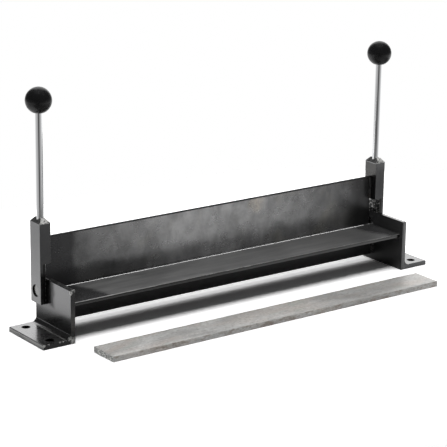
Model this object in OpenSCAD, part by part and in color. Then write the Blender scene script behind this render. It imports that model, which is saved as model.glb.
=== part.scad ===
// Hand bending brake for sheet metal: an angle-iron bed welded between two feet,
// a leaf that swings on two pins at the back edge of the bed, and a loose clamping bar.
// X runs along the bed, Y towards the back and Z up. The origin is on the bench,
// in the middle of the four bolt holes.

/* [Bed] */
// Length of the bed between the two brackets
bed_length = 460; // [300:1:900]
// Depth of the bed's top leg, front to back
bed_depth = 53.5; // [45:0.5:54]
// Height of the bed's back leg
bed_leg = 37; // [20:0.5:40]
// Thickness of both legs of the bed
bed_thick = 4; // [3:0.5:6]
// Height of the bed's top face above the bench
bed_top = 44; // [43:0.5:50]
// Inside radius between the bed's legs
bed_root = 5; // [2:0.5:8]

/* [Brackets] */
// Height of each bracket
bracket_height = 60; // [56:0.5:70]
// Width of each bracket's foot, with the upright plate
bracket_foot = 39.5; // [36:0.5:60]
// Depth of each bracket, front to back
bracket_depth = 72; // [70:0.5:90]
// Thickness of the bracket's plate and foot
bracket_thick = 5.5; // [4:0.5:6]
// Inside radius between the plate and the foot
bracket_root = 6; // [3:0.5:8]
// Radius on the free edges of the plate and the foot
bracket_toe = 1; // [0.5:0.5:3.5]

/* [Bolt holes] */
// Diameter of the four bolt holes
bolt_hole = 9; // [6.5:0.5:11]
// Distance between the two holes in one foot
bolt_spacing = 50; // [30:1:54]
// Distance from a hole's centre to the foot's outer edge
bolt_inset = 14.5; // [9:0.5:16]

/* [Pivots] */
// Diameter of the pivot pins
pin_d = 13.4; // [8:0.1:14]
// Radial running clearance of a pin in its lever block
pin_clearance = 0.05; // [0.02:0.01:0.1]
// How far the pin's end sits inside the block's outer face
pin_recess = 1.5; // [0.5:0.5:3]
// Distance of the pivot axis behind the bed's back face
pivot_back = 2.3; // [2.2:0.1:3]
// Height of the pivot axis above the bed, also its distance in front of the leaf's face
pivot_rise = 0.8; // [0.8:0.1:1]

/* [Bending leaf] */
// Height of the leaf
leaf_height = 59.5; // [40:0.5:90]
// Thickness of the leaf
leaf_thick = 5.5; // [4:0.5:8]
// Gap between each end of the leaf and the bracket plate
leaf_end_gap = 1.3; // [0.5:0.1:2]
// Depth of the leaf's lower edge below the bed's top face
leaf_drop = 1.2; // [0.2:0.1:1.2]

/* [Lever blocks] */
// Width of a lever block along the bed
block_width = 13.5; // [12.5:0.1:18]
// Depth of a lever block, front to back
block_depth = 20.5; // [18:0.5:24]
// Height of the block's lower end above the bench
block_low = 31; // [26:0.5:34]
// Height of the block's shoulders, where its cut-off top starts
block_shoulder = 121.5; // [108:0.5:160]
// Height of the notch's top above the bench
notch_top = 76; // [64:0.5:90]
// Gap between the notch and the bracket plate
notch_gap = 0.3; // [0.2:0.1:0.6]
// Height of the sloping faces at the block's top
cap_rise = 5; // [2:0.5:8]
// How far the sloping faces run in from the sides
cap_inset = 4.3; // [2:0.1:5]

/* [Handles] */
// Diameter of the handle rods
rod_d = 8; // [6:0.5:10]
// Height of the balls' centres above the bench
knob_height = 254.5; // [180:0.5:320]
// Diameter of the ball knobs
knob_d = 29; // [24:1:36]
// Diameter of the flat under each ball
knob_flat = 12.4; // [11:0.1:14]
// Outside diameter of the threaded insert in each ball
insert_d = 10.4; // [10.2:0.1:11]
// Length of the threaded insert
insert_length = 15; // [10:0.5:16]
// Depth of the rod's socket in the block
socket_depth = 16; // [10:0.5:20]

/* [Clamping bar] */
// Length of the loose clamping bar
bar_length = 452; // [290:1:890]
// Width of the clamping bar
bar_width = 38; // [25:0.5:40]
// Thickness of the clamping bar
bar_thick = 6.5; // [4:0.5:10]
// Distance of the bar in front of the brackets, as it lies on the bench
bar_ahead = 33; // [20:0.5:60]
// How far the bar lies to the right of the middle
bar_offset = -1.9; // [-5:0.1:5]

/* [Welds and edges] */
// Leg length of the weld beads on the leaf
leaf_weld = 3; // [2:0.5:3.5]
// Leg length of the weld beads on the bed
bed_weld = 4; // [2:0.5:5]
// Size of the small bevel on the cut and rolled edges
edge_break = 0.3; // [0.2:0.1:0.8]

/* [Hidden] */
$fn = 64;

// Half the bed's length: the inner face of each bracket plate
plate_in = bed_length / 2;
plate_out = plate_in + bracket_thick;

// The bed's front and back faces, set so that the lever blocks stay over the brackets
bed_back = 22.5;
bed_front = bed_back - bed_depth;

// The pivot axis, close above and behind the bed's back edge
pivot_y = bed_back + pivot_back;
pivot_z = bed_top + pivot_rise;

// The leaf's faces: level with the bed's top when the leaf is folded down
leaf_front = pivot_y + pivot_rise;
leaf_back = leaf_front + leaf_thick;
leaf_low = bed_top - leaf_drop;
leaf_top = leaf_low + leaf_height;

// The faces of a lever block, counted from the middle of the bed
block_in = plate_in - leaf_end_gap;
block_out = block_in + block_width;
block_top = block_shoulder + cap_rise;
block_mid = (block_in + block_out) / 2;
notch_wall = plate_out + notch_gap;

// Bolt holes
bolt_x = plate_in + bracket_foot - bolt_inset;

// Parts of the handles
knob_low = knob_height - sqrt(pow(knob_d / 2, 2) - pow(knob_flat / 2, 2));
insert_sink = 0.3;
rod_low = block_top - socket_depth;
rod_high = knob_low + insert_length - 1;
rod_chamfer = 0.8;
pin_chamfer = 0.5;

// A little more than a cut needs
over = 1;

// The corner that rounding takes away, with the round's centre at the origin
module corner_waste(r) {
    difference() {
        square(r + over);
        circle(r);
    }
}

// Section of an angle bar with its heel at the origin and its legs along +x and +y
module angle_section(width, height, thick, root, toe) {
    difference() {
        union() {
            square([width, thick]);
            square([thick, height]);
            translate([thick, thick]) square(root);
        }
        translate([thick + root, thick + root]) circle(root);
        translate([width - toe, thick - toe]) corner_waste(toe);
        translate([thick - toe, height - toe]) corner_waste(toe);
    }
}

// A rectangle from corner to corner, with its four corners cut off
module broken_rectangle(low, high, cut) {
    polygon([
        [low.x + cut, low.y], [high.x - cut, low.y], [high.x, low.y + cut], [high.x, high.y - cut],
        [high.x - cut, high.y], [low.x + cut, high.y], [low.x, high.y - cut], [low.x, low.y + cut]
    ]);
}

// Extrudes a section drawn in Y and Z along X, from the first place to the second
module along_x(from, to) {
    translate([from, 0, 0]) rotate([90, 0, 90]) linear_extrude(to - from) children();
}

// Extrudes a section drawn in X and Z along Y
module along_y(from, to) {
    translate([0, to, 0]) rotate([90, 0, 0]) linear_extrude(to - from) children();
}

// The left-hand pieces mirror the right-hand ones
module left() {
    mirror([1, 0, 0]) children();
}

module bed() {
    color([0.13, 0.13, 0.14])
    along_x(-plate_in, plate_in)
    difference() {
        translate([bed_back, bed_top]) rotate(180)
            angle_section(bed_depth, bed_leg, bed_thick, bed_root, edge_break);
        // The top's front edge and the heel are slightly worn
        for (y = [bed_front, bed_back])
            translate([y, bed_top]) rotate(45) square(edge_break * sqrt(2), center = true);
    }
}

module bracket() {
    color([0.1, 0.1, 0.11])
    difference() {
        along_y(-bracket_depth / 2, bracket_depth / 2)
            translate([plate_in, 0])
            angle_section(bracket_foot, bracket_height, bracket_thick, bracket_root, bracket_toe);
        for (y = [-1, 1] * bolt_spacing / 2)
            translate([bolt_x, y, -over]) cylinder(d = bolt_hole, h = bracket_thick + 2 * over);
        translate([plate_in - over, pivot_y, pivot_z]) rotate([0, 90, 0])
            cylinder(d = pin_d, h = bracket_thick + 2 * over);
    }
}

module left_bracket() { left() bracket(); }
module right_bracket() { bracket(); }

// A quarter-round bead that fills the corner at the origin, towards -x and -y
module bead_section(leg) {
    intersection() {
        circle(leg);
        translate([-leg, -leg]) square(leg);
    }
}

// The bead under the bed, along the bracket plate
module bed_weld() {
    color([0.2, 0.2, 0.21])
    along_y(bed_front + 2, bed_back - bed_thick - bed_root)
        translate([plate_in, bed_top - bed_thick]) bead_section(bed_weld);
}

module left_bed_weld() { left() bed_weld(); }
module right_bed_weld() { bed_weld(); }

// The upright bead between the bed's back leg and the bracket plate
module leg_weld() {
    color([0.2, 0.2, 0.21])
    translate([0, 0, bed_top - bed_leg + 1])
    linear_extrude(bed_leg - bed_thick - bed_root - 1)
        translate([plate_in, bed_back - bed_thick]) bead_section(bed_weld);
}

module left_leg_weld() { left() leg_weld(); }
module right_leg_weld() { leg_weld(); }

// A pin pressed into the bracket plate, on which the lever block turns
module pivot_pin() {
    length = block_out - pin_recess - plate_in;
    color([0.45, 0.45, 0.46])
    translate([plate_in, pivot_y, pivot_z]) rotate([0, 90, 0]) {
        cylinder(d = pin_d, h = length - pin_chamfer);
        translate([0, 0, length - pin_chamfer])
            cylinder(d1 = pin_d, d2 = pin_d - 2 * pin_chamfer, h = pin_chamfer);
    }
}

module left_pivot_pin() { left() pivot_pin(); }
module right_pivot_pin() { pivot_pin(); }

module bending_leaf() {
    color([0.24, 0.24, 0.25])
    along_x(-block_in, block_in)
        broken_rectangle([leaf_front, leaf_low], [leaf_back, leaf_top], edge_break);
}

// The beads between the leaf's two faces and the lever block, above the notch
module leaf_weld_pair() {
    color([0.3, 0.3, 0.3])
    translate([0, 0, notch_top]) linear_extrude(leaf_top - notch_top - edge_break) {
        translate([block_in, leaf_front]) bead_section(leaf_weld);
        translate([block_in, leaf_back]) mirror([0, 1]) bead_section(leaf_weld);
    }
}

module left_leaf_weld() { left() leaf_weld_pair(); }
module right_leaf_weld() { leaf_weld_pair(); }

// A flat bar on end, notched to pass outside the bracket, with a sloping top
module lever_block() {
    y_low = pivot_y - block_depth / 2;
    y_high = pivot_y + block_depth / 2;
    color([0.17, 0.17, 0.18])
    difference() {
        intersection() {
            translate([0, 0, block_low]) linear_extrude(block_top - block_low)
                broken_rectangle([block_in, y_low], [block_out, y_high], edge_break);
            along_y(y_low, y_high) polygon([
                [notch_wall, block_low], [block_out, block_low], [block_out, block_shoulder],
                [block_out - cap_inset, block_top], [block_in + cap_inset, block_top],
                [block_in, block_shoulder], [block_in, notch_top], [notch_wall, notch_top]
            ]);
            along_x(block_in, block_out) polygon([
                [y_low, block_low], [y_high, block_low], [y_high, block_shoulder],
                [y_high - cap_inset, block_top], [y_low + cap_inset, block_top], [y_low, block_shoulder]
            ]);
        }
        translate([notch_wall - over, pivot_y, pivot_z]) rotate([0, 90, 0])
            cylinder(d = pin_d + 2 * pin_clearance, h = block_out - notch_wall + 2 * over);
        translate([block_mid, pivot_y, rod_low]) cylinder(d = rod_d, h = socket_depth + over);
    }
}

module left_lever_block() { left() lever_block(); }
module right_lever_block() { lever_block(); }

module handle_rod() {
    color([0.8, 0.81, 0.83])
    translate([block_mid, pivot_y, 0]) {
        translate([0, 0, rod_low])
            cylinder(d1 = rod_d - 2 * rod_chamfer, d2 = rod_d, h = rod_chamfer);
        translate([0, 0, rod_low + rod_chamfer])
            cylinder(d = rod_d, h = rod_high - rod_low - 2 * rod_chamfer);
        translate([0, 0, rod_high - rod_chamfer])
            cylinder(d1 = rod_d, d2 = rod_d - 2 * rod_chamfer, h = rod_chamfer);
    }
}

module left_handle_rod() { left() handle_rod(); }
module right_handle_rod() { handle_rod(); }

// The metal sleeve moulded into a ball, which screws onto the rod
module knob_insert() {
    color([0.75, 0.6, 0.3])
    translate([block_mid, pivot_y, knob_low + insert_sink])
    difference() {
        cylinder(d = insert_d, h = insert_length);
        translate([0, 0, -over]) cylinder(d = rod_d, h = insert_length + 2 * over);
    }
}

module left_knob_insert() { left() knob_insert(); }
module right_knob_insert() { knob_insert(); }

module knob() {
    color([0.05, 0.05, 0.05])
    translate([block_mid, pivot_y, knob_height])
    difference() {
        sphere(d = knob_d);
        translate([0, 0, knob_low - knob_height - knob_d])
            cylinder(d = knob_d, h = knob_d);
        translate([0, 0, knob_low - knob_height - over])
            cylinder(d = insert_d, h = insert_sink + insert_length + over);
    }
}

module left_knob() { left() knob(); }
module right_knob() { knob(); }

// The loose bar that holds the sheet down on the bed, lying on the bench in front
module clamping_bar() {
    bar_back = -bracket_depth / 2 - bar_ahead;
    color([0.62, 0.61, 0.58])
    along_x(bar_offset - bar_length / 2, bar_offset + bar_length / 2)
        broken_rectangle([bar_back - bar_width, 0], [bar_back, bar_thick], edge_break);
}

bed();
left_bracket();
right_bracket();
left_bed_weld();
right_bed_weld();
left_leg_weld();
right_leg_weld();
left_pivot_pin();
right_pivot_pin();
bending_leaf();
left_leaf_weld();
right_leaf_weld();
left_lever_block();
right_lever_block();
left_handle_rod();
right_handle_rod();
left_knob_insert();
right_knob_insert();
left_knob();
right_knob();
clamping_bar();
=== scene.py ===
import math
import random

import bmesh
import bpy
from mathutils import Matrix, Vector, noise


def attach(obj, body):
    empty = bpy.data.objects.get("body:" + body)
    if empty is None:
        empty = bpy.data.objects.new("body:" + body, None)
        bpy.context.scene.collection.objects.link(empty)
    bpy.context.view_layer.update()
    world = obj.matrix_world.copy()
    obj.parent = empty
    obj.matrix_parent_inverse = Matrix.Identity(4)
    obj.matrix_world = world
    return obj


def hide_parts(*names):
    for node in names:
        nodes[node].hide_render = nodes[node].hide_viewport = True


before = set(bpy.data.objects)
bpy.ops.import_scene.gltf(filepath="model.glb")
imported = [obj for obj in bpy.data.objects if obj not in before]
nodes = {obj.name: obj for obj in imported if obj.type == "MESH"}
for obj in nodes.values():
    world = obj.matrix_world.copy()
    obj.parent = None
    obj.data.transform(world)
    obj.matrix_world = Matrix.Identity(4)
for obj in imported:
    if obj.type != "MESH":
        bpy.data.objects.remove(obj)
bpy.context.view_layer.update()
mm = 0.001
print("brake: frame loaded,", len(nodes), "parts")


cameraSetup = {
    "place": (-1.2272142, -1.6554613, 0.6955966),
    "turn": 36.32868,       # degrees, from looking along +Y towards +X
    "tilt": -16.45528,
    "roll": 0.81780,
    "focal": 1889.692,      # in pixels of the picture
    "picture": 447, "sensor": 36, "clip": (0.05, 60),
}


def makeCamera(setup):
    turn, tilt, roll = (math.radians(setup[k]) for k in ("turn", "tilt", "roll"))
    forward = Vector((math.sin(turn) * math.cos(tilt), math.cos(turn) * math.cos(tilt), math.sin(tilt)))
    side = forward.cross(Vector((0, 0, 1))).normalized()
    above = side.cross(forward)
    right = side * math.cos(roll) + above * math.sin(roll)
    top = above * math.cos(roll) - side * math.sin(roll)
    data = bpy.data.cameras.new("camera")
    data.sensor_width = setup["sensor"]
    data.lens = setup["focal"] * setup["sensor"] / setup["picture"]
    data.clip_start, data.clip_end = setup["clip"]
    cam = bpy.data.objects.new("camera", data)
    aim = Matrix((right, top, -forward)).transposed().to_4x4()
    cam.matrix_world = Matrix.Translation(setup["place"]) @ aim
    bpy.context.scene.collection.objects.link(cam)
    bpy.context.scene.camera = cam


makeCamera(cameraSetup)
bpy.context.scene.view_settings.view_transform = "Standard"
print("brake: camera set")


# short ways to add nodes and feed their sockets
def addNode(tree, kind, **settings):
    node = tree.nodes.new(kind)
    for key, value in settings.items():
        setattr(node, key, value)
    return node


def isSocket(value):
    return isinstance(value, bpy.types.NodeSocket)


def feed(socket, value):
    # a value is a number, a colour, a vector or another node's output
    if isSocket(value):
        socket.id_data.links.new(value, socket)
    elif value is not None:
        socket.default_value = (*value, 1) if socket.type == "RGBA" and len(value) == 3 else value


def feedNamed(node, **values):
    # blotchSize feeds the socket Blotch Size
    for key, value in values.items():
        label = "".join(" " + ch if ch.isupper() else ch for ch in key)
        feed(node.inputs[label[0].upper() + label[1:]], value)
    return node.outputs


def fedNode(kind, values, places=None, **settings):
    # the new node joins the tree that its first fed value comes from
    node = addNode(next(v.id_data for v in values if isSocket(v)), kind, **settings)
    for k, value in zip(places or range(len(values)), values):
        feed(node.inputs[k], value)
    return node.outputs


def calc(operation, a, b=None, c=None, clamp=False):
    return fedNode("ShaderNodeMath", (a, b, c), operation=operation, use_clamp=clamp)[0]


def mul(*values):
    total = values[0]
    for value in values[1:]:
        total = calc("MULTIPLY", total, value)
    return total


def largest(values):
    top = values[0]
    for value in values[1:]:
        top = calc("MAXIMUM", top, value)
    return top


def lessBy(value, mask):
    return mul(value, calc("SUBTRACT", 1.0, mask))


def aboutZero(value):
    # noise lies about a half
    return calc("SUBTRACT", value, 0.5)


def reachOf(a, b):
    return calc("SQRT", calc("ADD", mul(a, a), mul(b, b)))


def ramp(value, low, high, newLow=0.0, newHigh=1.0):
    values = (value, low, high, newLow, newHigh)
    return fedNode("ShaderNodeMapRange", values, interpolation_type="SMOOTHSTEP")[0]


def blendColour(factor, a, b, mode="MIX"):
    return fedNode("ShaderNodeMix", (factor, a, b), (0, 6, 7), data_type="RGBA", blend_type=mode)[2]


def blendValue(factor, a, b):
    return fedNode("ShaderNodeMix", (factor, a, b), (0, 2, 3), data_type="FLOAT")[0]


def grey(level):
    return fedNode("ShaderNodeCombineColor", (level, level, level))[0]


def dim(colour, level):
    return blendColour(1.0, colour, grey(level) if isSocket(level) else (level, level, level), "MULTIPLY")


def vectorMath(operation, a, b, output=0):
    return fedNode("ShaderNodeVectorMath", (a, b), operation=operation)[output]


def stretched(place, amounts):
    return vectorMath("MULTIPLY", place, amounts)


def split(vector):
    return fedNode("ShaderNodeSeparateXYZ", (vector,))


def noiseAt(vector, scale, detail=3.0, rough=0.5, warp=0.0):
    node = addNode(vector.id_data, "ShaderNodeTexNoise")
    return feedNamed(node, vector=vector, scale=scale, detail=detail, roughness=rough, distortion=warp)[0]


def levelStops(value, stops):
    # a level between given (place, level) pairs
    low, high = stops[0][0], stops[-1][0]
    spread = fedNode("ShaderNodeMapRange", (value, low, high, 0.0, 1.0))[0]
    node = addNode(value.id_data, "ShaderNodeValToRGB")
    node.color_ramp.interpolation = "LINEAR"
    while len(node.color_ramp.elements) < len(stops):
        node.color_ramp.elements.new(1.0)
    for element, (place, level) in zip(node.color_ramp.elements, stops):
        element.position = (place - low) / (high - low)
        element.color = (level, level, level, 1)
    feed(node.inputs[0], spread)
    return node.outputs[0]


def aroundAxis(a, b, centre, near, far):
    # 1 inside a round of radius near about a straight axis, 0 beyond far
    a, b = (calc("SUBTRACT", v, c) for v, c in zip((a, b), centre))
    return ramp(reachOf(a, b), near, far, 1.0, 0.0)


def aroundSpot(place, spot, size, core):
    # 1 within a share of the size from a spot, 0 beyond the size
    return ramp(vectorMath("DISTANCE", place, spot, output=1), size, size * core)


def newGroup(name, inputs, outputs):
    # an input without a value of its own is a vector
    tree = bpy.data.node_groups.new(name, "ShaderNodeTree")
    for label, value in inputs.items():
        kind = "NodeSocketVector" if value is None else "NodeSocketFloat"
        socket = tree.interface.new_socket(label, in_out="INPUT", socket_type=kind)
        if value is not None:
            socket.default_value = value
    for label, kind in outputs.items():
        tree.interface.new_socket(label, in_out="OUTPUT", socket_type="NodeSocket" + kind)
    return tree, addNode(tree, "NodeGroupInput").outputs, addNode(tree, "NodeGroupOutput").inputs


def useGroup(group, **values):
    return feedNamed(addNode(values["place"].id_data, "ShaderNodeGroup", node_tree=group), **values)


# effects that several finishes share
def makeCloudGroup():
    # blotches, streaks along the rolling direction and a fine tooth
    tree, given, result = newGroup(
        "rolledSurface", {"Place": None, "Lines": None, "Blotch Size": 40.0, "Blotches": 1.0, "Streaks": 0.5},
        {"Tone": "Float", "Height": "Float"})
    place, size = given["Place"], given["Blotch Size"]
    big = noiseAt(place, size, 4, 0.55, 0.6)
    small = noiseAt(place, mul(size, 4.3), 5, 0.6)
    streak = noiseAt(given["Lines"], 1.0, 3, 0.6)
    fine = noiseAt(place, 2200.0, 2, 0.6)
    blotch = calc("ADD", mul(aboutZero(big), 1.7), mul(aboutZero(small), 0.8))
    tone = calc("MULTIPLY_ADD", blotch, given["Blotches"], 0.5)
    height = calc("MULTIPLY_ADD", streak, 0.45, mul(fine, 0.35))
    feed(result["Tone"], calc("MULTIPLY_ADD", aboutZero(streak), given["Streaks"], tone, clamp=True))
    feed(result["Height"], calc("MULTIPLY_ADD", small, 0.4, height))
    return tree


def makeWearGroup():
    # where an edge is rubbed to bare metal, and a normal that rounds the edge
    tree, given, result = newGroup(
        "edgeWear", {"Place": None, "Radius": 0.0006, "Grit": 260.0, "Amount": 0.5},
        {"Mask": "Float", "Normal": "Vector"})
    rounded = fedNode("ShaderNodeBevel", (given["Radius"],), samples=8)[0]
    flat = addNode(tree, "ShaderNodeNewGeometry").outputs["Normal"]
    edge = ramp(vectorMath("DOT_PRODUCT", rounded, flat, output=1), 0.995, 0.86)
    grit = noiseAt(given["Place"], given["Grit"], 4, 0.65)
    gate = ramp(calc("ADD", grit, mul(given["Amount"], 0.5)), 0.55, 0.85)
    feed(result["Mask"], calc("MULTIPLY", edge, gate, clamp=True))
    feed(result["Normal"], rounded)
    return tree


def makeDustGroup():
    # a thin film and single specks on faces that look up at rest
    tree, given, result = newGroup(
        "dustFilm", {"Place": None, "Facing": None, "Film": 0.3, "Specks": 0.3}, {"Mask": "Float"})
    up = ramp(split(given["Facing"])[2], 0.6, 0.98)
    film = mul(ramp(noiseAt(given["Place"], 55.0, 5, 0.65), 0.3, 0.75), given["Film"])
    speck = mul(ramp(noiseAt(given["Place"], 900.0, 2, 0.5), 0.68, 0.76), given["Specks"])
    feed(result["Mask"], calc("MULTIPLY", up, calc("ADD", film, speck), clamp=True))
    return tree


def makeSawGroup():
    # saw or grinding marks across a cut face, and the crumbled look of its burr
    tree, given, result = newGroup(
        "sawCut", {"Place": None, "Marks": None, "Roughness": 1.0}, {"Tone": "Float", "Height": "Float"})
    marks = noiseAt(given["Marks"], 1.0, 4, 0.65, 0.4)
    crumbs = noiseAt(given["Place"], 620.0, 4, 0.7)
    tone = calc("MULTIPLY_ADD", aboutZero(marks), 1.5, 0.5)
    feed(result["Tone"], calc("MULTIPLY_ADD", aboutZero(crumbs), given["Roughness"], tone, clamp=True))
    feed(result["Height"], calc("ADD", marks, mul(crumbs, given["Roughness"])))
    return tree


def makeEndZoneGroup():
    # 1 near the two ends of a long piece, with a soft and slightly wavy border
    tree, given, result = newGroup(
        "endZones", {"Place": None, "Left": -0.19, "Right": 0.19, "Soft": 0.004}, {"Mask": "Float"})
    wobble = aboutZero(noiseAt(given["Place"], 45.0, 3, 0.55))
    x = calc("MULTIPLY_ADD", wobble, 9 * mm, split(given["Place"])[0])
    past = (calc("SUBTRACT", given["Left"], x), calc("SUBTRACT", x, given["Right"]))
    back = mul(given["Soft"], -1.0)
    feed(result["Mask"], largest([ramp(far, back, given["Soft"]) for far in past]))
    return tree


rolledSurface = makeCloudGroup()
edgeWear = makeWearGroup()
dustFilm = makeDustGroup()
sawCut = makeSawGroup()
endZones = makeEndZoneGroup()
print("brake: shared effects built")


def newFinish(name):
    material = bpy.data.materials.new(name)
    material.use_nodes = True
    tree = material.node_tree
    coords = addNode(tree, "ShaderNodeTexCoord").outputs
    return material, tree.nodes["Principled BSDF"], coords["Object"], coords["Normal"]


def bumpOn(height, distance, normal=None):
    bump = addNode(height.id_data, "ShaderNodeBump")
    return feedNamed(bump, strength=1.0, distance=distance, height=height, normal=normal)[0]


def rolled(look, place, lines):
    return useGroup(rolledSurface, place=place, lines=lines, blotchSize=look["blotchSize"],
                    blotches=look["blotches"], streaks=look["streaks"])


def worn(look, place):
    return useGroup(edgeWear, place=place, radius=look["edge"], grit=look["grit"], amount=look["wear"])


def cover(skin, mask, colour, rough, metal=None, coatLoss=1.0):
    # lays a colour over a finish where the mask is 1, and takes a share of its coat away there
    skin["colour"] = blendColour(mask, skin["colour"], colour)
    skin["rough"] = blendValue(mask, skin["rough"], rough)
    if metal is not None:
        skin["metal"] = blendValue(mask, skin["metal"], metal)
    if coatLoss:
        skin["coat"] = lessBy(skin["coat"], mask if coatLoss == 1 else mul(mask, coatLoss))


finishes = {}
middle = (-0.01, 0.01)          # where a look changes from the left half to the right half
lookingAhead = (-0.8, -0.95)    # how far a normal leans on a face that looks ahead

# oiled black steel, as on the bed, the brackets and the lever blocks
blackSteel = {
    "dark": (0.15, 0.15, 0.154), "light": (0.2, 0.2, 0.203), "bare": (0.5, 0.5, 0.49), "bareRough": 0.36,
    "blotchSize": 38.0, "blotches": 0.5, "streaks": 0.5, "lines": (260, 8, 260),
    "edge": 0.5 * mm, "grit": 260.0, "wear": 0.3, "film": 0.02, "specks": 0.06,
    "dustColour": (0.3, 0.3, 0.29), "dustRough": 0.35, "dustLoss": 0.8,
    "rough": (0.15, 0.21), "coatRough": 0.08, "bump": 4e-6,
}


def makeBlackSteel(name, look, beforeWear=None, afterWear=None):
    # dark metal under a thin glossy film, with layers that only some pieces have
    material, shader, place, normal = newFinish(name)
    axes, facing = split(place), split(normal)
    surface = rolled(look, place, stretched(place, look["lines"]))
    wear = worn(look, place)
    dust = useGroup(dustFilm, place=place, facing=normal, film=look["film"], specks=look["specks"])["Mask"]
    colour = blendColour(surface["Tone"], look["dark"], look["light"])
    rough = ramp(surface["Tone"], 0, 1, *look["rough"])
    skin = {
        "place": place, "axes": axes, "absX": calc("ABSOLUTE", axes[0]),
        "facing": facing, "ahead": ramp(facing[1], *lookingAhead),
        "colour": blendColour(dust, colour, look["dustColour"]),
        "rough": calc("MULTIPLY_ADD", dust, look["dustRough"], rough, clamp=True),
        "metal": lessBy(1.0, mul(dust, look["dustLoss"])),
        "coat": 1.0, "height": surface["Height"], "worn": wear["Mask"],
    }
    if beforeWear:
        beforeWear(skin, look)
    cover(skin, skin["worn"], look["bare"], look["bareRough"])
    if afterWear:
        afterWear(skin, look)
    feedNamed(shader, baseColor=skin["colour"], roughness=skin["rough"], metallic=skin["metal"],
              coatWeight=skin["coat"], coatRoughness=look["coatRough"],
              normal=bumpOn(skin["height"], look["bump"], wear["Normal"]))
    return material


bedLook = {
    **blackSteel, "lines": (7, 260, 260), "blotches": 0.8, "specks": 0.12, "wear": 0.5,
    # the top is dull between two cleaner ends, whose border leans across the top as a painted reflection
    "topZones": (-189 * mm, 205 * mm, 6 * mm), "zoneLean": 0.35, "zoneShares": (0.8, 0.6),
    "topFilm": 0.7, "topColour": (0.19, 0.19, 0.187), "topStreaks": (0.72, 1.25), "topRough": 0.45,
    "topPatches": (0.72, 1.0), "patchSize": 70.0, "streakLines": (9, 130, 130),
    "topAlong": [(-0.24, 1.0), (0.1, 1.0), (0.145, 0.72), (0.175, 0.62), (0.195, 0.72), (0.24, 0.74)],
    # the faces below the top are painted darker as shade under the bed
    "underShadeBelow": (39.8 * mm, 39.5 * mm), "underShadeColour": (0.045, 0.045, 0.046),
    # the faces looking ahead are painted dark as shade, darker above than below
    "frontShade": (0.06, 0.15), "frontShadeHeights": (41 * mm, 43.2 * mm),
    # the top's front corner carries a painted highlight, most of all at the left
    "lip": (-31 * mm, 44 * mm), "lipSize": (0.35 * mm, 0.85 * mm), "lipHighlightColour": (0.75, 0.75, 0.74),
    "lipAlong": [(-0.24, 0.9), (-0.15, 0.8), (-0.1, 0.45), (0.0, 0.5), (0.06, 0.3), (0.24, 0.45)],
    "lipLines": (60, 500, 500),
}


def layBedFaces(skin, look):
    place, axes = skin["place"], skin["axes"]
    left, right, soft = look["topZones"]
    # the lean of the end zones' border is a painted reflection
    leaning = fedNode("ShaderNodeCombineXYZ",
                      (calc("MULTIPLY_ADD", axes[1], look["zoneLean"], axes[0]), axes[1]))[0]
    zones = useGroup(endZones, place=leaning, left=left, right=right, soft=soft)["Mask"]
    clean = mul(zones, ramp(axes[0], *middle, *look["zoneShares"]))
    patchy = noiseAt(stretched(place, (0.35, 1, 1)), look["patchSize"], 4, 0.6, 0.5)
    worked = mul(lessBy(ramp(skin["facing"][2], 0.9, 0.99), clean),
                 ramp(patchy, 0.25, 0.7, *look["topPatches"]), look["topFilm"])
    streaky = noiseAt(stretched(place, look["streakLines"]), 1.0, 5, 0.62, 0.3)
    deep, pale = (tuple(v * share for v in look["topColour"]) for share in look["topStreaks"])
    dull = dim(blendColour(ramp(streaky, 0.3, 0.7), deep, pale), levelStops(axes[0], look["topAlong"]))
    cover(skin, worked, dull, look["topRough"], metal=0.0)
    # painted shade on the faces under the bed top
    under = ramp(axes[2], *look["underShadeBelow"])
    cover(skin, under, look["underShadeColour"], 0.4, metal=0.2, coatLoss=0.8)
    # painted shade on the bed's faces that look ahead
    low, high = look["frontShade"]
    level = grey(ramp(axes[2], *look["frontShadeHeights"], high, low))
    skin["colour"] = blendColour(lessBy(skin["ahead"], under), skin["colour"], level)
    # painted highlight along the top's front corner
    broken = noiseAt(stretched(place, look["lipLines"]), 1.0, 4, 0.6)
    lip = mul(aroundAxis(axes[1], axes[2], look["lip"], *look["lipSize"]),
              ramp(broken, 0.3, 0.6, 0.5, 1.0), levelStops(axes[0], look["lipAlong"]))
    cover(skin, lip, look["lipHighlightColour"], 0.4, metal=0.3)


finishes["bed"] = makeBlackSteel("blackBed", bedLook, beforeWear=layBedFaces)

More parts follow.
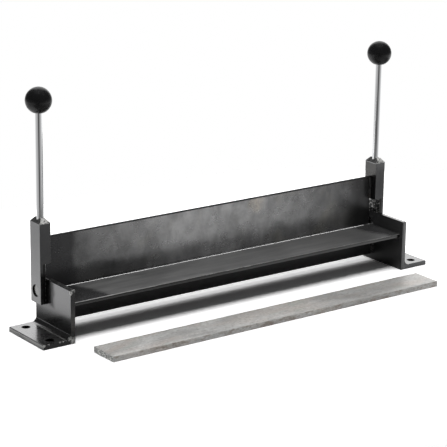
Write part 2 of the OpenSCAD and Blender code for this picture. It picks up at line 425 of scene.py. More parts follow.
bracketLook = {
    **blackSteel, "rough": (0.2, 0.27), "coatRough": 0.15, "film": 0.2,
    # the plate is painted darker low down as a reflection of the dark foot, on the left bracket's faces that
    # look ahead as painted shade, and close to the lever block as a painted reflection of the block
    "outerFrom": (235.2 * mm, 235.4 * mm), "aboveFoot": (5.6 * mm, 6.4 * mm),
    "lowShade": (26.5 * mm, 18 * mm), "lowLean": 0.2, "lowLevel": 0.42,
    "besideBlock": (-5.5 * mm, 1.5 * mm), "besideAbove": (29 * mm, 34 * mm),
    "besideWave": 7 * mm, "blockReflectionLevel": 0.24, "frontShadeLevel": 0.65, "soilLoss": 0.6,
    # a painted highlight along the line where the root runs out on the foot
    "rootLine": (241.3 * mm, 5.7 * mm), "rootSize": (0.4 * mm, 1.2 * mm),
    "rootHighlightColour": (0.42, 0.42, 0.41), "rootLines": (500, 90, 500),
    # painted shade on the plate's inner face, and the sheared end of the foot
    "innerFrom": (230.1 * mm, 230.05 * mm), "innerShadeColour": (0.045, 0.045, 0.046),
    "shearedFrom": (269.3 * mm, 269.4 * mm), "shearedColour": (0.5, 0.5, 0.49),
    "footSeam": (4.6 * mm, 4.1 * mm), "shearedLines": (1, 22, 900),
    # a painted highlight on the right plate's front edge, brighter towards its top
    "edgeHighlightFront": (-35.85 * mm, -35.9 * mm), "edgeHighlightFrom": (231 * mm, 233.5 * mm),
    "rubbedTo": (236.5 * mm, 235.6 * mm), "rubbedUp": (10 * mm, 50 * mm, 0.15, 0.8),
    "edgeHighlightColour": (0.4, 0.4, 0.395),
    # the bolt holes are painted black inside as shade
    "holes": [(sx * 255 * mm, sy * 25 * mm) for sx in (-1, 1) for sy in (-1, 1)],
    "holeSize": (4.8 * mm, 5.05 * mm), "holeShadeColour": (0.006, 0.006, 0.006),
    # corners that the shears and the floor have knocked bright: |x|, z and size
    "chips": [((-x * mm, -36 * mm, z * mm), size * mm)
              for x, z, size in ((235.3, 57.2, 3.4), (231.2, 60, 3.0), (231.5, 3, 6), (236.5, 6.5, 3.5),
                                 (268.6, 4.8, 2.4), (263, 5.6, 1.6), (249, 5.6, 1.8), (245, 5.6, 1.6))],
    "chipCore": 0.45, "chipColour": (0.75, 0.75, 0.73),
}


def layBracketMarks(skin, look):
    place, axes, absX = (skin[k] for k in ("place", "axes", "absX"))
    # painted reflection of the foot low down, painted shade on faces looking ahead, painted reflection of the
    # block beside it
    outer = ramp(absX, *look["outerFrom"])
    lean = calc("MULTIPLY_ADD", axes[1], look["lowLean"], axes[2])
    low = mul(ramp(lean, *look["lowShade"]), outer, ramp(axes[2], *look["aboveFoot"]))
    wave = aboutZero(noiseAt(place, 110.0, 3, 0.6))
    y, z = (calc("MULTIPLY_ADD", wave, look["besideWave"], axes[k]) for k in (1, 2))
    beside = mul(ramp(y, *look["besideBlock"]), ramp(z, *look["besideAbove"]), outer)
    front = mul(skin["ahead"], ramp(axes[0], *reversed(middle)))
    levels = [blendValue(mask, 1.0, look[key])
              for mask, key in ((low, "lowLevel"), (beside, "blockReflectionLevel"), (front, "frontShadeLevel"))]
    skin["colour"] = dim(skin["colour"], mul(*levels))
    skin["coat"] = lessBy(skin["coat"], mul(largest((low, beside)), look["soilLoss"]))

    # painted highlight where the root meets the foot
    grains = noiseAt(stretched(place, look["rootLines"]), 1.0, 4, 0.6)
    root = mul(aroundAxis(absX, axes[2], look["rootLine"], *look["rootSize"]),
               ramp(grains, 0.3, 0.6, 0.35, 1.0))
    cover(skin, root, look["rootHighlightColour"], 0.4, metal=0.4)
    # painted shade on the plate's inner face
    cover(skin, ramp(absX, *look["innerFrom"]), look["innerShadeColour"], 0.32, metal=0.2, coatLoss=0.85)
    layers = noiseAt(stretched(place, look["shearedLines"]), 1.0, 4, 0.6, 0.2)
    sheared = mul(ramp(absX, *look["shearedFrom"]), ramp(layers, 0.38, 0.56, 0.25, 1.0),
                  ramp(axes[2], *look["footSeam"], 0.15, 1.0))
    cover(skin, sheared, look["shearedColour"], 0.5, metal=0.3)
    # painted highlight on the right plate's front edge
    edgeHighlight = mul(ramp(axes[1], *look["edgeHighlightFront"]), ramp(axes[0], *look["edgeHighlightFrom"]),
                 ramp(axes[2], *look["rubbedUp"]), ramp(axes[0], *look["rubbedTo"]))
    cover(skin, edgeHighlight, look["edgeHighlightColour"], 0.4, metal=0.3)
    # painted shade inside the bolt holes
    inside = [aroundAxis(axes[0], axes[1], centre, *look["holeSize"]) for centre in look["holes"]]
    cover(skin, largest(inside), look["holeShadeColour"], 0.6)
    chips = largest([aroundSpot(place, spot, size, look["chipCore"]) for spot, size in look["chips"]])
    broken = ramp(noiseAt(place, 700.0, 4, 0.7), 0.38, 0.58)
    cover(skin, mul(chips, broken), look["chipColour"], 0.5, metal=0.4)


finishes["bracket"] = makeBlackSteel("blackBracket", bracketLook, afterWear=layBracketMarks)

blockLook = {
    **blackSteel, "lines": (420, 420, 12), "streaks": 0.8, "bare": (0.75, 0.75, 0.73),
    # the sloping top and the notch are ground bright, and the top's slopes that face sideways are painted
    # darker as shade
    "groundFrom": (121.7 * mm, 122.4 * mm), "borderWave": 1.8 * mm, "sideTop": -0.8,
    "sawMarks": (300, 300, 900), "sawDepth": 7.0, "groundRough": 0.42,
    "notchBelow": (76.3 * mm, 75.9 * mm), "notchWithin": (236.2 * mm, 235.9 * mm),
    "notchBare": 0.8, "notchColour": (0.04, 0.04, 0.04),
    # the front face beside the notch is darker low down, and the side towards the leaf, where the leaf is
    # welded, is painted dark and dull as shade
    "besideNotchWithin": (239.6 * mm, 238.4 * mm), "besideNotchBelow": (77.9 * mm, 76.7 * mm),
    "besideNotchColour": (0.05, 0.05, 0.05), "leafSideShadeWithin": (228.9 * mm, 228.8 * mm),
    "leafSideShadeBelow": (121.7 * mm, 120.7 * mm), "leafSideShadeColour": (0.092, 0.09, 0.088),
    # the bore round the pin is painted near black as shade in the recess, and its rim isn't rubbed
    "pivot": (24.8 * mm, 44.8 * mm), "boreSize": (6.75 * mm, 6.9 * mm),
    "boreShadeColour": (0.01, 0.01, 0.01), "rimSize": (7.55 * mm, 7.95 * mm),
}


def layBlockCuts(skin, look):
    place, axes, absX = (skin[k] for k in ("place", "axes", "absX"))
    wavy = calc("MULTIPLY_ADD", noiseAt(place, 420.0, 3, 0.6), look["borderWave"], axes[2])
    notch = mul(ramp(axes[2], *look["notchBelow"]), ramp(absX, *look["notchWithin"]))
    cover(skin, notch, look["notchColour"], 0.4)
    # the front face beside the notch is made darker low down
    besideNotch = mul(ramp(absX, *look["besideNotchWithin"]), ramp(wavy, *look["besideNotchBelow"]), skin["ahead"])
    cover(skin, besideNotch, look["besideNotchColour"], 0.4, coatLoss=0)
    # painted shade on the side towards the leaf
    leafSideShade = mul(ramp(absX, *look["leafSideShadeWithin"]), ramp(wavy, *look["leafSideShadeBelow"]))
    cover(skin, leafSideShade, look["leafSideShadeColour"], 0.3, coatLoss=0.5)
    saw = useGroup(sawCut, place=place, marks=stretched(place, look["sawMarks"]), roughness=1.4)
    flecks = ramp(noiseAt(place, 520.0, 3, 0.6), 0.5, 0.62, 0.0, look["notchBare"])
    top = ramp(wavy, *look["groundFrom"])
    ground = largest((top, mul(notch, flecks)))
    # painted shade on the top's slopes that face sideways
    sidewaysShade = ramp(calc("ABSOLUTE", skin["facing"][0]), 0.35, 0.6)
    showing = calc("MULTIPLY_ADD", sidewaysShade, mul(top, look["sideTop"]), ground)
    showing = calc("MULTIPLY", showing, ramp(saw["Tone"], 0.2, 0.6), clamp=True)
    cover(skin, showing, look["bare"], look["groundRough"], metal=0.25, coatLoss=0)
    skin["coat"] = lessBy(skin["coat"], ground)
    marks = mul(saw["Height"], ground)
    skin["height"] = calc("MULTIPLY_ADD", marks, look["sawDepth"], skin["height"])
    # painted shade inside the bore round the pin
    bore, rim = (aroundAxis(axes[1], axes[2], look["pivot"], *look[k]) for k in ("boreSize", "rimSize"))
    cover(skin, bore, look["boreShadeColour"], 0.5)
    skin["worn"] = lessBy(skin["worn"], rim)


finishes["block"] = makeBlackSteel("blackBlock", blockLook, beforeWear=layBlockCuts)

leafLook = {
    "dark": (0.33, 0.33, 0.335), "light": (0.6, 0.6, 0.6), "tint": (0.5, 0.49, 0.44),
    "bare": (0.5, 0.5, 0.49), "edge": 0.5 * mm, "grit": 320.0, "wear": 0.1,
    "stretch": (0.7, 1, 1), "lines": (60, 60, 160), "blotchSize": 11.0, "blotches": 0.95, "streaks": 0.35,
    "along": [(-0.2, 0.9), (-0.15, 1.0), (-0.06, 1.42), (0.0, 1.28), (0.08, 1.2), (0.14, 0.93), (0.2, 0.8)],
    "patchSize": 55.0, "patchStretch": (1.0, 1.0, 0.7), "patchLevels": (0.76, 1.26),
    "lowShade": (55 * mm, 66 * mm), "lowWave": -22 * mm,
    "lowAlong": [(-0.2, 0.6), (-0.13, 0.58), (-0.06, 0.2), (0.0, 0.05), (0.2, 0.15)],
    "stain": ((0.055, 0.0256, 0.097), 16 * mm, 0.3), "stainColour": (0.62, 0.57, 0.5),
    "zones": (-191.6 * mm, 196 * mm), "zoneSoft": (6 * mm, 15 * mm), "zoneShare": 0.88,
    "zoneColour": (0.1, 0.1, 0.104),
    "top": (102.12 * mm, 102.2 * mm), "topColour": (0.012, 0.012, 0.012), "topRough": 0.95,
    "rough": (0.24, 0.32), "metal": 0.9, "bump": 6e-6,
}


def makeRolledLeaf(look):
    # rolled face with soft clouds of scale, left darker at its two ends and along its foot
    material, shader, place, normal = newFinish("rolledLeaf")
    axes = split(place)
    surface = rolled(look, stretched(place, look["stretch"]), stretched(place, look["lines"]))
    wear = worn(look, place)
    colour = blendColour(surface["Tone"], look["dark"], look["light"])
    tint = ramp(noiseAt(place, 22.0, 2, 0.5, 0.5), 0.52, 0.72, 0.0, 0.5)
    colour = blendColour(tint, colour, look["tint"])
    cloud = ramp(noiseAt(place, 130.0, 4, 0.6), 0.35, 0.65, 0.2, 0.75)
    colour = blendColour(mul(aroundSpot(place, *look["stain"]), cloud), colour, look["stainColour"])
    patches = noiseAt(stretched(place, look["patchStretch"]), look["patchSize"], 4, 0.6, 0.3)
    colour = dim(colour, ramp(patches, 0.25, 0.75, *look["patchLevels"]))
    wobble = aboutZero(noiseAt(stretched(place, (0.5, 1, 1)), 42.0, 4, 0.55))
    height = calc("MULTIPLY_ADD", wobble, look["lowWave"], axes[2])
    shade = mul(ramp(height, *look["lowShade"], 1.0, 0.0), levelStops(axes[0], look["lowAlong"]))
    colour = dim(colour, lessBy(levelStops(axes[0], look["along"]), shade))
    left, right = look["zones"]
    sides = (useGroup(endZones, place=place, left=left, right=right, soft=soft)["Mask"]
             for soft in look["zoneSoft"])
    zones = blendValue(ramp(axes[0], *middle), *sides)
    colour = blendColour(mul(zones, look["zoneShare"]), colour, look["zoneColour"])
    colour = blendColour(wear["Mask"], colour, look["bare"])
    top = ramp(axes[2], *look["top"])
    rough = ramp(surface["Tone"], 0, 1, *look["rough"])
    feedNamed(shader, baseColor=blendColour(top, colour, look["topColour"]),
              roughness=blendValue(top, rough, look["topRough"]),
              metallic=blendValue(top, look["metal"], 0.0),
              normal=bumpOn(surface["Height"], look["bump"], wear["Normal"]))
    return material


finishes["leaf"] = makeRolledLeaf(leafLook)

barLook = {
    "dark": (0.47, 0.466, 0.455), "light": (0.76, 0.756, 0.74),
    "warm": (0.65, 0.6, 0.56), "cool": (0.55, 0.59, 0.55), "stain": 0.85,
    "rust": (0.36, 0.29, 0.24), "rusty": 0.75, "bright": (0.9, 0.89, 0.86), "brightEdge": 0.7,
    "sawn": (0.27, 0.27, 0.26), "sawnBright": (0.95, 0.95, 0.92), "sawnMetal": 0.0, "sawDepth": 5.0,
    "marks": (0, 500, 160), "freckle": (0.3, 0.285, 0.265), "freckles": 0.5, "pale": 0.5, "sideLift": 1.3,
    "stretch": (0.4, 1, 1), "lines": (7, 420, 300), "blotchSize": 36.0, "blotches": 1.5, "streaks": 1.2,
    "edge": 0.5 * mm, "grit": 380.0, "wear": 0.4,
    "along": [(-0.23, 0.95), (0.0, 0.9), (0.06, 0.85), (0.11, 0.72), (0.15, 0.7), (0.19, 0.82), (0.225, 0.9)],
    "rough": (0.34, 0.5), "metal": 0.45, "bump": 1.2e-5,
}


def makeBareBar(look):
    # bare cold steel, stained in long cloudy patches, with sawn ends
    material, shader, place, normal = newFinish("bareBar")
    surface = rolled(look, stretched(place, look["stretch"]), stretched(place, look["lines"]))
    wear = worn(look, place)
    saw = useGroup(sawCut, place=place, marks=stretched(place, look["marks"]), roughness=1.2)
    facing = split(normal)
    ends, sides = (ramp(calc("ABSOLUTE", facing[k]), 0.6, 0.9) for k in (0, 1))
    colour = blendColour(surface["Tone"], look["dark"], look["light"])
    for key, stretch, scale, warp, low, high in (("warm", (0.5, 1.6, 1.6), 26.0, 0.4, 0.42, 0.66),
                                                 ("cool", (0.45, 1.3, 1.3), 31.0, 0.6, 0.55, 0.75)):
        stain = ramp(noiseAt(stretched(place, stretch), scale, 3, 0.55, warp), low, high)
        colour = blendColour(mul(stain, look["stain"]), colour, look[key])
    # fine dark freckles and paler rubbed spots between them
    fine = noiseAt(stretched(place, (0.6, 1, 1)), 430.0, 4, 0.68, 0.3)
    colour = blendColour(mul(ramp(fine, 0.5, 0.68), look["freckles"]), colour, look["freckle"])
    colour = blendColour(mul(ramp(fine, 0.46, 0.3), look["pale"]), colour, look["bright"])
    colour = dim(colour, levelStops(split(place)[0], look["along"]))
    # painted light: the faces looking to the front and back are lifted brighter
    colour = blendColour(sides, colour, dim(colour, look["sideLift"]))
    rust = ramp(noiseAt(stretched(place, (0.7, 2, 2)), 95.0, 5, 0.65), 0.47, 0.66)
    colour = blendColour(mul(rust, sides, look["rusty"]), colour, look["rust"])
    crumbled = ramp(noiseAt(place, 560.0, 3, 0.65), 0.4, 0.58)
    cut = mul(crumbled, ramp(saw["Tone"], 0.2, 0.6))
    colour = blendColour(ends, colour, blendColour(cut, look["sawn"], look["sawnBright"]))
    colour = blendColour(mul(wear["Mask"], look["brightEdge"]), colour, look["bright"])
    height = blendValue(ends, surface["Height"], mul(saw["Height"], look["sawDepth"]))
    feedNamed(shader, baseColor=colour, roughness=ramp(surface["Tone"], 0, 1, *look["rough"]),
              metallic=blendValue(ends, look["metal"], look["sawnMetal"]),
              normal=bumpOn(height, look["bump"], wear["Normal"]))
    return material


finishes["bar"] = makeBareBar(barLook)

chromeLook = {"dark": (0.8, 0.81, 0.82), "light": (0.92, 0.92, 0.93), "rough": (0.04, 0.08), "bump": 3e-6}


def makeChrome(look):
    # bright plating with faint smears round the rod
    material, shader, place, normal = newFinish("chromePlate")
    smear = noiseAt(stretched(place, (300, 300, 25)), 1.0, 3, 0.55)
    feedNamed(shader, baseColor=blendColour(smear, look["dark"], look["light"]), metallic=1.0,
              roughness=ramp(smear, 0.3, 0.7, *look["rough"]),
              normal=bumpOn(noiseAt(place, 260.0, 2, 0.5), look["bump"]))
    return material


finishes["chrome"] = makeChrome(chromeLook)

ballLook = {"dark": (0.004, 0.004, 0.0043), "light": (0.007, 0.007, 0.0075), "scuff": (0.06, 0.06, 0.055),
            "scuffs": 0.12, "film": 0.02, "specks": 0.04, "rough": (0.26, 0.34), "bump": 1.2e-5}


def makeBallPlastic(look):
    # moulded black resin with a few handling marks
    material, shader, place, normal = newFinish("ballPlastic")
    haze = noiseAt(place, 120.0, 4, 0.6)
    colour = blendColour(haze, look["dark"], look["light"])
    scuff = ramp(noiseAt(stretched(place, (1, 1, 2.5)), 520.0, 5, 0.7), 0.6, 0.8)
    dust = useGroup(dustFilm, place=place, facing=normal, film=look["film"], specks=look["specks"])
    marks = calc("ADD", mul(scuff, look["scuffs"]), dust["Mask"], clamp=True)
    rough = ramp(haze, 0.3, 0.7, *look["rough"])
    feedNamed(shader, baseColor=blendColour(marks, colour, look["scuff"]),
              roughness=calc("MULTIPLY_ADD", scuff, look["scuffs"], rough),
              normal=bumpOn(noiseAt(place, 340.0, 3, 0.55), look["bump"]))
    return material


finishes["ball"] = makeBallPlastic(ballLook)

brassLook = {"dark": (0.5, 0.36, 0.14), "light": (0.78, 0.6, 0.28), "rough": (0.25, 0.45), "bump": 1e-5}


def makeBrass(look):
    # turned sleeve inside a ball
    material, shader, place, normal = newFinish("sleeveBrass")
    tone = noiseAt(place, 500.0, 4, 0.6)
    feedNamed(shader, baseColor=blendColour(tone, look["dark"], look["light"]), metallic=1.0,
              roughness=ramp(tone, 0.3, 0.7, *look["rough"]), normal=bumpOn(tone, look["bump"]))
    return material


finishes["brass"] = makeBrass(brassLook)

weldLook = {
    "dark": (0.02, 0.02, 0.021), "light": (0.13, 0.13, 0.128), "heat": (0.09, 0.075, 0.065),
    # the drops of spatter beside the leaf's beads stay bright
    "drop": (0.4, 0.4, 0.39), "dropAbove": 102.8 * mm, "dropWithin": 225.4 * mm, "leafAbove": 60 * mm,
    "rough": (0.3, 0.5), "metal": 0.85, "bump": 6e-5,
}


def makeWeld(look):
    # heat-tinted bead with scale between the ripples
    material, shader, place, normal = newFinish("weldBead")
    scale = noiseAt(place, 700.0, 4, 0.65)
    colour = blendColour(ramp(scale, 0.35, 0.62), look["dark"], look["light"])
    heat = ramp(noiseAt(place, 160.0, 3, 0.5), 0.45, 0.7, 0.0, 0.5)
    colour = blendColour(heat, colour, look["heat"])
    axes = split(place)
    within = mul(calc("LESS_THAN", calc("ABSOLUTE", axes[0]), look["dropWithin"]),
                 calc("GREATER_THAN", axes[2], look["leafAbove"]))
    drops = largest((calc("GREATER_THAN", axes[2], look["dropAbove"]), within))
    feedNamed(shader, baseColor=blendColour(drops, colour, look["drop"]), metallic=look["metal"],
              roughness=ramp(scale, 0.3, 0.7, *look["rough"]), normal=bumpOn(scale, look["bump"]))
    return material


finishes["weld"] = makeWeld(weldLook)

pinLook = {"centre": (24.8 * mm, 44.8 * mm), "dark": (0.19, 0.19, 0.19), "light": (0.28, 0.28, 0.275),
           "rings": 18000.0, "rough": (0.16, 0.26), "coat": 1.0, "coatRough": 0.08, "bump": 4e-6}


def makePinSteel(look):
    # turned end of the pin, with faint rings about its own centre
    material, shader, place, normal = newFinish("pinSteel")
    out = [calc("SUBTRACT", v, c) for v, c in zip(split(place)[1:], look["centre"])]
    rings = calc("SINE", mul(reachOf(*out), look["rings"]))
    grain = noiseAt(place, 600.0, 4, 0.6)
    feedNamed(shader, baseColor=blendColour(grain, look["dark"], look["light"]), metallic=1.0,
              roughness=ramp(grain, 0.3, 0.7, *look["rough"]),
              coatWeight=look["coat"], coatRoughness=look["coatRough"],
              normal=bumpOn(calc("ADD", rings, grain), look["bump"]))
    return material


finishes["pin"] = makePinSteel(pinLook)
print("brake: finishes made,", len(finishes))


def paint(piece, finish):
    piece.data.materials.clear()
    piece.data.materials.append(finishes[finish])


sideFinishes = {"bracket": "bracket", "lever_block": "block", "pivot_pin": "pin", "knob_insert": "brass"}
for side in ("left", "right"):
    for part, finish in sideFinishes.items():
        paint(nodes[side + "_" + part], finish)
paint(nodes["bed"], "bed")
paint(nodes["bending_leaf"], "leaf")


# pieces made finer than the solids they stand for
def addPiece(name, mesh, body, finish, slot, *stands):
    mesh.normal_update()
    data = bpy.data.meshes.new(name)
    mesh.to_mesh(data)
    mesh.free()
    piece = bpy.data.objects.new(name, data)
    bpy.context.scene.collection.objects.link(piece)
    paint(piece, finish)
    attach(piece, body)
    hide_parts(*stands)


def closeMesh(mesh, angle):
    # faces look outwards, and flat shading stays where two of them meet at more than this angle
    bmesh.ops.recalc_face_normals(mesh, faces=mesh.faces)
    for face in mesh.faces:
        face.smooth = True
    for edge in mesh.edges:
        edge.smooth = len(edge.link_faces) == 2 and edge.calc_face_angle(0) < math.radians(angle)


def turned(profile, centre, steps):
    # a turned piece from (radius, height) pairs in mm about an upright axis
    mesh = bmesh.new()
    rings = []
    for radius, height in ((a * mm, h * mm) for a, h in profile):
        if radius < 1e-7:
            rings.append([mesh.verts.new((centre[0], centre[1], height))])
            continue
        rings.append([mesh.verts.new((centre[0] + radius * math.cos(2 * math.pi * k / steps),
                                      centre[1] + radius * math.sin(2 * math.pi * k / steps), height))
                      for k in range(steps)])
    for low, high in zip(rings, rings[1:]):
        for k in range(steps):
            n = (k + 1) % steps
            corners = [low[k % len(low)], low[n % len(low)], high[n % len(high)], high[k % len(high)]]
            corners = list(dict.fromkeys(corners))
            if len(corners) > 2:
                mesh.faces.new(corners)
    closeMesh(mesh, angle=28)
    return mesh


weldShape = {
    "seed": 7, "blockIn": 228.7, "plateIn": 230.0, "across": 12, "perRipple": 7, "shading": 50,
    "leafFaces": ((25.6, -1), (31.1, 1)), "leafLow": 76.0, "leafHigh": 102.0,
    "leafLeg": 3.0, "leafPitch": 1.7, "bedLeg": 4.0, "bedPitch": 2.3,
    # name, y and z of both ends, and the way out from the corner
    "standBeads": (("bed", (-29, 40), (13.5, 40), (0, 0, -1)), ("leg", (18.5, 8), (18.5, 35), (0, -1, 0))),
    "drops": 26, "dropSize": (0.22, 0.55), "dropReach": 17.0,
}


def addBead(mesh, start, end, alongA, alongB, leg, pitch, rng, shape):
    # a fillet bead: crescent ripples, uneven toes and drawn-in ends
    start, end, alongA, alongB = (Vector(v) for v in (start, end, alongA, alongB))
    length = (end - start).length
    run = (end - start) / length
    across = shape["across"]
    rows = max(12, int(length / pitch * shape["perRipple"]))
    phase = rng.random() * 10
    grid = []
    for i in range(rows + 1):
        s = length * i / rows
        close = min(1.0, min(s, length - s) / (leg * 0.7))
        ends = math.sqrt(max(0.0, 1 - (1 - close) ** 2)) * 0.75 + 0.25
        row = []
        for j in range(across + 1):
            t = -0.06 + (math.pi / 2 + 0.12) * j / across
            lag = 0.75 * math.sin(2 * t) * pitch
            ripple = abs(math.sin(math.pi * (s + lag) / pitch)) ** 0.55
            wander = noise.noise(Vector((s * 0.55 + phase, t * 1.3, phase))) * 0.1
            reach = min(leg * ends * (0.84 + 0.12 * ripple + wander), leg)
            point = start + run * s + (alongA * math.cos(t) + alongB * math.sin(t)) * reach
            row.append(mesh.verts.new(point * mm))
        grid.append(row)
    for a, b in zip(grid, grid[1:]):
        for j in range(across):
            mesh.faces.new((a[j], a[j + 1], b[j + 1], b[j]))
    for row, corner, inset in ((grid[0], start, 0.15), (grid[-1], end, -0.15)):
        tip = mesh.verts.new(sum((v.co for v in row), Vector()) / len(row) * 0.6
                             + corner * mm * 0.4 - run * inset * mm)
        for j in range(across):
            mesh.faces.new((row[j], row[j + 1], tip))


def addDrop(mesh, place, normal, size, rng):
    # one drop of spatter, flattened on the face it hit
    turn = normal.to_track_quat("Z", "Y").to_matrix().to_4x4()
    squash = Matrix.Diagonal((1, rng.uniform(0.75, 1), rng.uniform(0.45, 0.7), 1))
    where = Matrix.Translation(place * mm) @ turn @ squash
    bmesh.ops.create_icosphere(mesh, subdivisions=2, radius=size * mm, matrix=where)


def makeWelds(shape):
    rng = random.Random(shape["seed"])
    blockIn, plateIn = shape["blockIn"], shape["plateIn"]
    leafFront = shape["leafFaces"][0][0]
    for side, sign in (("left", -1), ("right", 1)):
        mesh = bmesh.new()
        for y, out in shape["leafFaces"]:
            addBead(mesh, (sign * blockIn, y, shape["leafLow"]), (sign * blockIn, y, shape["leafHigh"]),
                    (-sign, 0, 0), (0, out, 0), shape["leafLeg"], shape["leafPitch"], rng, shape)
        for _ in range(shape["drops"]):
            away = shape["dropReach"] * rng.random() ** 1.6
            size = rng.uniform(*shape["dropSize"])
            if rng.random() < 0.5:
                spot = Vector((sign * (blockIn - 3 - away), leafFront, rng.uniform(80, 101)))
                addDrop(mesh, spot, Vector((0, -1, 0)), size, rng)
            else:
                spot = Vector((sign * blockIn, rng.uniform(16, 33), rng.uniform(103.5, 108 + away * 0.7)))
                addDrop(mesh, spot, Vector((-sign, 0, 0)), size, rng)
        closeMesh(mesh, shape["shading"])
        addPiece(side + "_leaf_bead", mesh, "leaf", "weld", "weld_bead", side + "_leaf_weld")
        for name, start, end, out in shape["standBeads"]:
            mesh = bmesh.new()
            addBead(mesh, (sign * plateIn, *start), (sign * plateIn, *end), (-sign, 0, 0), out,
                    shape["bedLeg"], shape["bedPitch"], rng, shape)
            closeMesh(mesh, shape["shading"])
            addPiece(f"{side}_{name}_bead", mesh, "stand", "weld", "weld_bead", f"{side}_{name}_weld")


makeWelds(weldShape)
print("brake: weld beads made")


rodShape = {"radius": 4.0, "low": 110.5, "high": 255.39, "chamfer": 0.8, "y": 24.8, "x": 235.45,
            "rows": 24, "steps": 72}
ballShape = {"radius": 14.5, "centre": 254.5, "flat": 6.2, "bore": 5.2, "rim": 0.5, "seam": 0.06,
             "seamWidth": 0.02, "steps": 96}


def makeHandles(rod, ball):
    r, cut, rows = rod["radius"], rod["chamfer"], rod["rows"]
    plain = rod["high"] - rod["low"] - 2 * cut
    rodProfile = [(0, rod["low"]), (r - cut, rod["low"]), (r, rod["low"] + cut)]
    rodProfile += [(r, rod["low"] + cut + plain * k / rows) for k in range(1, rows + 1)]
    rodProfile += [(r - cut, rod["high"]), (0, rod["high"])]
    # the ball: its bore, the flat round it, and the sphere with its moulding seam
    big, flat, bore, steps = (ball[k] for k in ("radius", "flat", "bore", "steps"))
    under = math.asin(flat / big)
    low = ball["centre"] - big * math.cos(under)
    ballProfile = [(bore, low + 2.0), (bore, low + 0.35), (bore + 0.3, low + 0.02), (flat - ball["rim"], low)]
    for k in range(1, steps + 1):
        angle = under + (math.pi - under) * k / steps
        seam = ball["seam"] * math.exp(-((angle - math.pi / 2) / ball["seamWidth"]) ** 2)
        radius = big - ball["seam"] + seam
        ballProfile.append((max(0.0, radius * math.sin(angle)) if k < steps else 0.0,
                            ball["centre"] - radius * math.cos(angle)))
    for side, sign in (("left", -1), ("right", 1)):
        centre = (sign * rod["x"] * mm, rod["y"] * mm)
        mesh = turned(rodProfile, centre, rod["steps"])
        addPiece(side + "_rod", mesh, "leaf", "chrome", "chrome", side + "_handle_rod")
        mesh = turned(ballProfile, centre, steps)
        addPiece(side + "_ball", mesh, "leaf", "ball", "black_plastic", side + "_knob")


makeHandles(rodShape, ballShape)
print("brake: handles made")


barShape = {
    "from": -227.9, "to": 224.1, "front": -107.0, "back": -69.0, "thick": 6.5, "rows": 300, "seed": 21,
    "round": 0.45, "cornerSteps": 4, "wideSteps": 14, "thinSteps": 3, "shading": 32,
    "nick": 0.35, "wave": 0.08, "sawLean": 0.5,
}


def barOutline(shape):
    # y, z, the way out, and 1 on the rounded corners, anticlockwise from the top's back corner
    y0, y1, z1, r = shape["front"], shape["back"], shape["thick"], shape["round"]
    outline = []
    for cy, cz, first, run, out, length, steps in (
            (y1 - r, z1 - r, 0, (-1, 0), (0, 1), y1 - y0, shape["wideSteps"]),
            (y0 + r, z1 - r, 90, (0, -1), (-1, 0), z1, shape["thinSteps"]),
            (y0 + r, r, 180, (1, 0), (0, -1), y1 - y0, shape["wideSteps"]),
            (y1 - r, r, 270, (0, 1), (1, 0), z1, shape["thinSteps"])):
        for k in range(shape["cornerSteps"] + 1):
            a = math.radians(first + 90 * k / shape["cornerSteps"])
            outline.append((cy + r * math.cos(a), cz + r * math.sin(a), math.cos(a), math.sin(a), 1.0))
        y, z = outline[-1][:2]
        for k in range(1, steps):
            f = (length - 2 * r) * k / steps
            outline.append((y + run[0] * f, z + run[1] * f, *out, 0.0))
    return outline


def makeBar(shape):
    # every corner of the bar is a little uneven, and its ends are sawn slightly askew
    rng = random.Random(shape["seed"])
    outline, last = barOutline(shape), shape["rows"]
    mesh = bmesh.new()
    rings = []
    for i in range(last + 1):
        x = shape["from"] + (shape["to"] - shape["from"]) * i / last
        ring = []
        for y, z, ny, nz, corner in outline:
            dent = max(0.0, noise.noise(Vector((x * 0.16, y * 0.4, z * 0.9)))) * shape["nick"] * corner
            dent += (0.5 + 0.5 * noise.noise(Vector((x * 0.02, y * 0.06, z * 0.3 + 9)))) * shape["wave"]
            lean = 0.0
            if i in (0, last):
                across = (y - shape["front"]) / (shape["back"] - shape["front"])
                lean = shape["sawLean"] * (0.35 + 0.35 * math.sin(across * 7 + i) + 0.3 * rng.random())
                lean *= 1 if i == 0 else -1
            # the underside stays flat on the bench
            low = 0.0 if nz < -0.5 else dent
            ring.append(mesh.verts.new(Vector((x + lean, y - ny * dent, max(0.0, z - nz * low))) * mm))
        rings.append(ring)
    count = len(outline)
    for a, b in zip(rings, rings[1:]):
        for k in range(count):
            mesh.faces.new((a[k], a[(k + 1) % count], b[(k + 1) % count], b[k]))
    for ring in (rings[0], rings[-1]):
        mesh.faces.new(ring)
    closeMesh(mesh, shape["shading"])
    addPiece("loose_clamping_bar", mesh, "loose_bar", "bar", "bare_steel", "clamping_bar")


makeBar(barShape)
print("brake: clamping bar made")


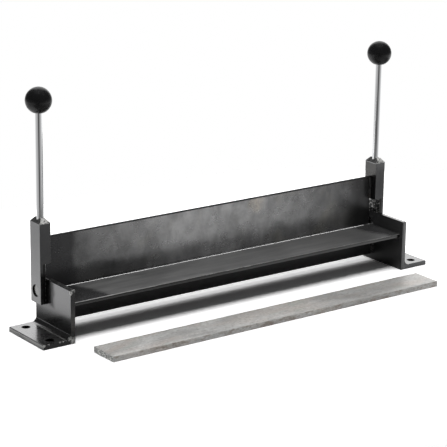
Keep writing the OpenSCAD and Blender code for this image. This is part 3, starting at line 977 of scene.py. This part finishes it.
# the studio: white sweep behind, dark room at the sides, soft light from above and behind
studio = {
    "backWay": (0.592, 0.806), "roomLevel": 0.096, "sweepLevel": 1.28, "ceilingLevel": 0.32, "fill": 0.1,
    "sweepAcross": (0.79, 0.93), "sweepTop": (0.9, 0.8), "ceilingFrom": (0.84, 0.96), "horizon": (-0.2, -0.1),
    # how bright the floor far away looks in polished metal, by angle from the front, turning right
    "farFloor": [(-180, 1.15), (-130, 0.95), (-94, 0.6), (-55, 0.5), (-35, 0.42), (-23, 0.37),
                 (-14, 0.2), (-9, 0.05), (9, 0.05), (14, 0.15), (20, 0.25), (39, 0.33), (74, 0.6),
                 (100, 0.9), (120, 1.1), (180, 1.15)],
    # and the floor close by: in front from left to right by place, at the left, and behind
    "nearFront": [(-0.4, 0.16), (-0.15, 0.17), (0.0, 0.2), (0.11, 0.35), (0.19, 0.34), (0.27, 0.46),
                  (0.34, 0.38), (0.385, 0.27), (0.5, 0.2)],
    "leftFrom": (-0.2695, -0.283), "leftAhead": (-0.05, -0.01), "nearLeft": (0.12, 0.4, 0.88, 0.7),
    "behindFrom": (0.08, 0.25), "nearBehind": 0.95, "nearReach": (0.42, 0.46), "standHalf": 0.235,
    "floorSize": 24.0, "floorSeen": 1.45, "floorLit": 0.8,
    # name, place, size and power, all aimed at the object
    "lamps": (("overLamp", (0.0, -0.32, 1.5), (1.5, 0.55), 20.0),
              ("rearLamp", (0.0, 1.25, 1.15), (1.8, 1.3), 18.5)),
}


def makeWorld(setup):
    world = bpy.data.worlds.new("studioWorld")
    bpy.context.scene.world = world
    world.use_nodes = True
    tree = world.node_tree
    tree.nodes.clear()
    ray = addNode(tree, "ShaderNodeLightPath").outputs
    x, y, z = split(addNode(tree, "ShaderNodeTexCoord").outputs["Generated"])
    bx, by = setup["backWay"]
    across = largest((reachOf(x, y), 0.0001))
    ahead = calc("DIVIDE", calc("ADD", mul(x, bx), mul(y, by)), across)
    # above the floor: the sweep, the room and the ceiling
    sweep = mul(ramp(ahead, *setup["sweepAcross"]), ramp(z, *setup["sweepTop"]))
    sky = blendValue(sweep, setup["roomLevel"], setup["sweepLevel"])
    sky = blendValue(ramp(z, *setup["ceilingFrom"]), sky, setup["ceilingLevel"])
    # below it: the floor far away
    side = calc("SUBTRACT", mul(x, by), mul(y, bx))
    turn = calc("DEGREES", calc("ARCTAN2", side, mul(ahead, across, -1.0)))
    seen = blendValue(ramp(z, *setup["horizon"]), levelStops(turn, setup["farFloor"]), sky)
    level = blendValue(ray["Is Glossy Ray"], setup["fill"], seen)
    level = largest((level, largest((ray["Is Camera Ray"], ray["Is Transmission Ray"]))))
    background = fedNode("ShaderNodeBackground", ((1, 1, 1), level))[0]
    feed(addNode(tree, "ShaderNodeOutputWorld").inputs[0], background)


def makeFloor(setup):
    mesh = bmesh.new()
    bmesh.ops.create_grid(mesh, x_segments=4, y_segments=4, size=setup["floorSize"] / 2)
    data = bpy.data.meshes.new("studioFloor")
    mesh.to_mesh(data)
    mesh.free()
    floor = bpy.data.objects.new("studioFloor", data)
    bpy.context.scene.collection.objects.link(floor)
    material = bpy.data.materials.new("studioFloor")
    material.use_nodes = True
    tree = material.node_tree
    tree.nodes.clear()
    ray = addNode(tree, "ShaderNodeLightPath").outputs
    x, y, z = split(addNode(tree, "ShaderNodeNewGeometry").outputs["Position"])
    outX = largest((calc("SUBTRACT", calc("ABSOLUTE", x), setup["standHalf"]), 0.0))
    reach = reachOf(outX, y)
    front = levelStops(x, setup["nearFront"])
    mirrored = blendValue(ramp(y, *setup["behindFrom"]), front, setup["nearBehind"])
    atLeft = mul(ramp(x, *setup["leftFrom"]), ramp(y, *setup["leftAhead"]))
    mirrored = blendValue(atLeft, mirrored, ramp(reach, *setup["nearLeft"]))
    level = blendValue(ray["Is Glossy Ray"], setup["floorLit"], mirrored)
    level = blendValue(ray["Is Camera Ray"], level, setup["floorSeen"])
    diffuse = fedNode("ShaderNodeBsdfDiffuse", (grey(level),))[0]
    # polished metal and the camera see the world's own floor beyond the near part
    far = mul(ramp(reach, *setup["nearReach"]), largest((ray["Is Glossy Ray"], ray["Is Camera Ray"])))
    clear = addNode(tree, "ShaderNodeBsdfTransparent").outputs[0]
    either = fedNode("ShaderNodeMixShader", (far, diffuse, clear))[0]
    feed(addNode(tree, "ShaderNodeOutputMaterial").inputs[0], either)
    data.materials.append(material)


def addLamp(name, place, size, power):
    data = bpy.data.lights.new(name, "AREA")
    data.shape, data.size, data.size_y, data.energy = "RECTANGLE", size[0], size[1], power
    lamp = bpy.data.objects.new(name, data)
    aim = (-Vector(place)).to_track_quat("-Z", "Y").to_matrix().to_4x4()
    lamp.matrix_world = Matrix.Translation(place) @ aim
    lamp.visible_glossy = False
    bpy.context.scene.collection.objects.link(lamp)


makeWorld(studio)
makeFloor(studio)
for lamp in studio["lamps"]:
    addLamp(*lamp)
print("brake: studio lit")

print("brake: done")
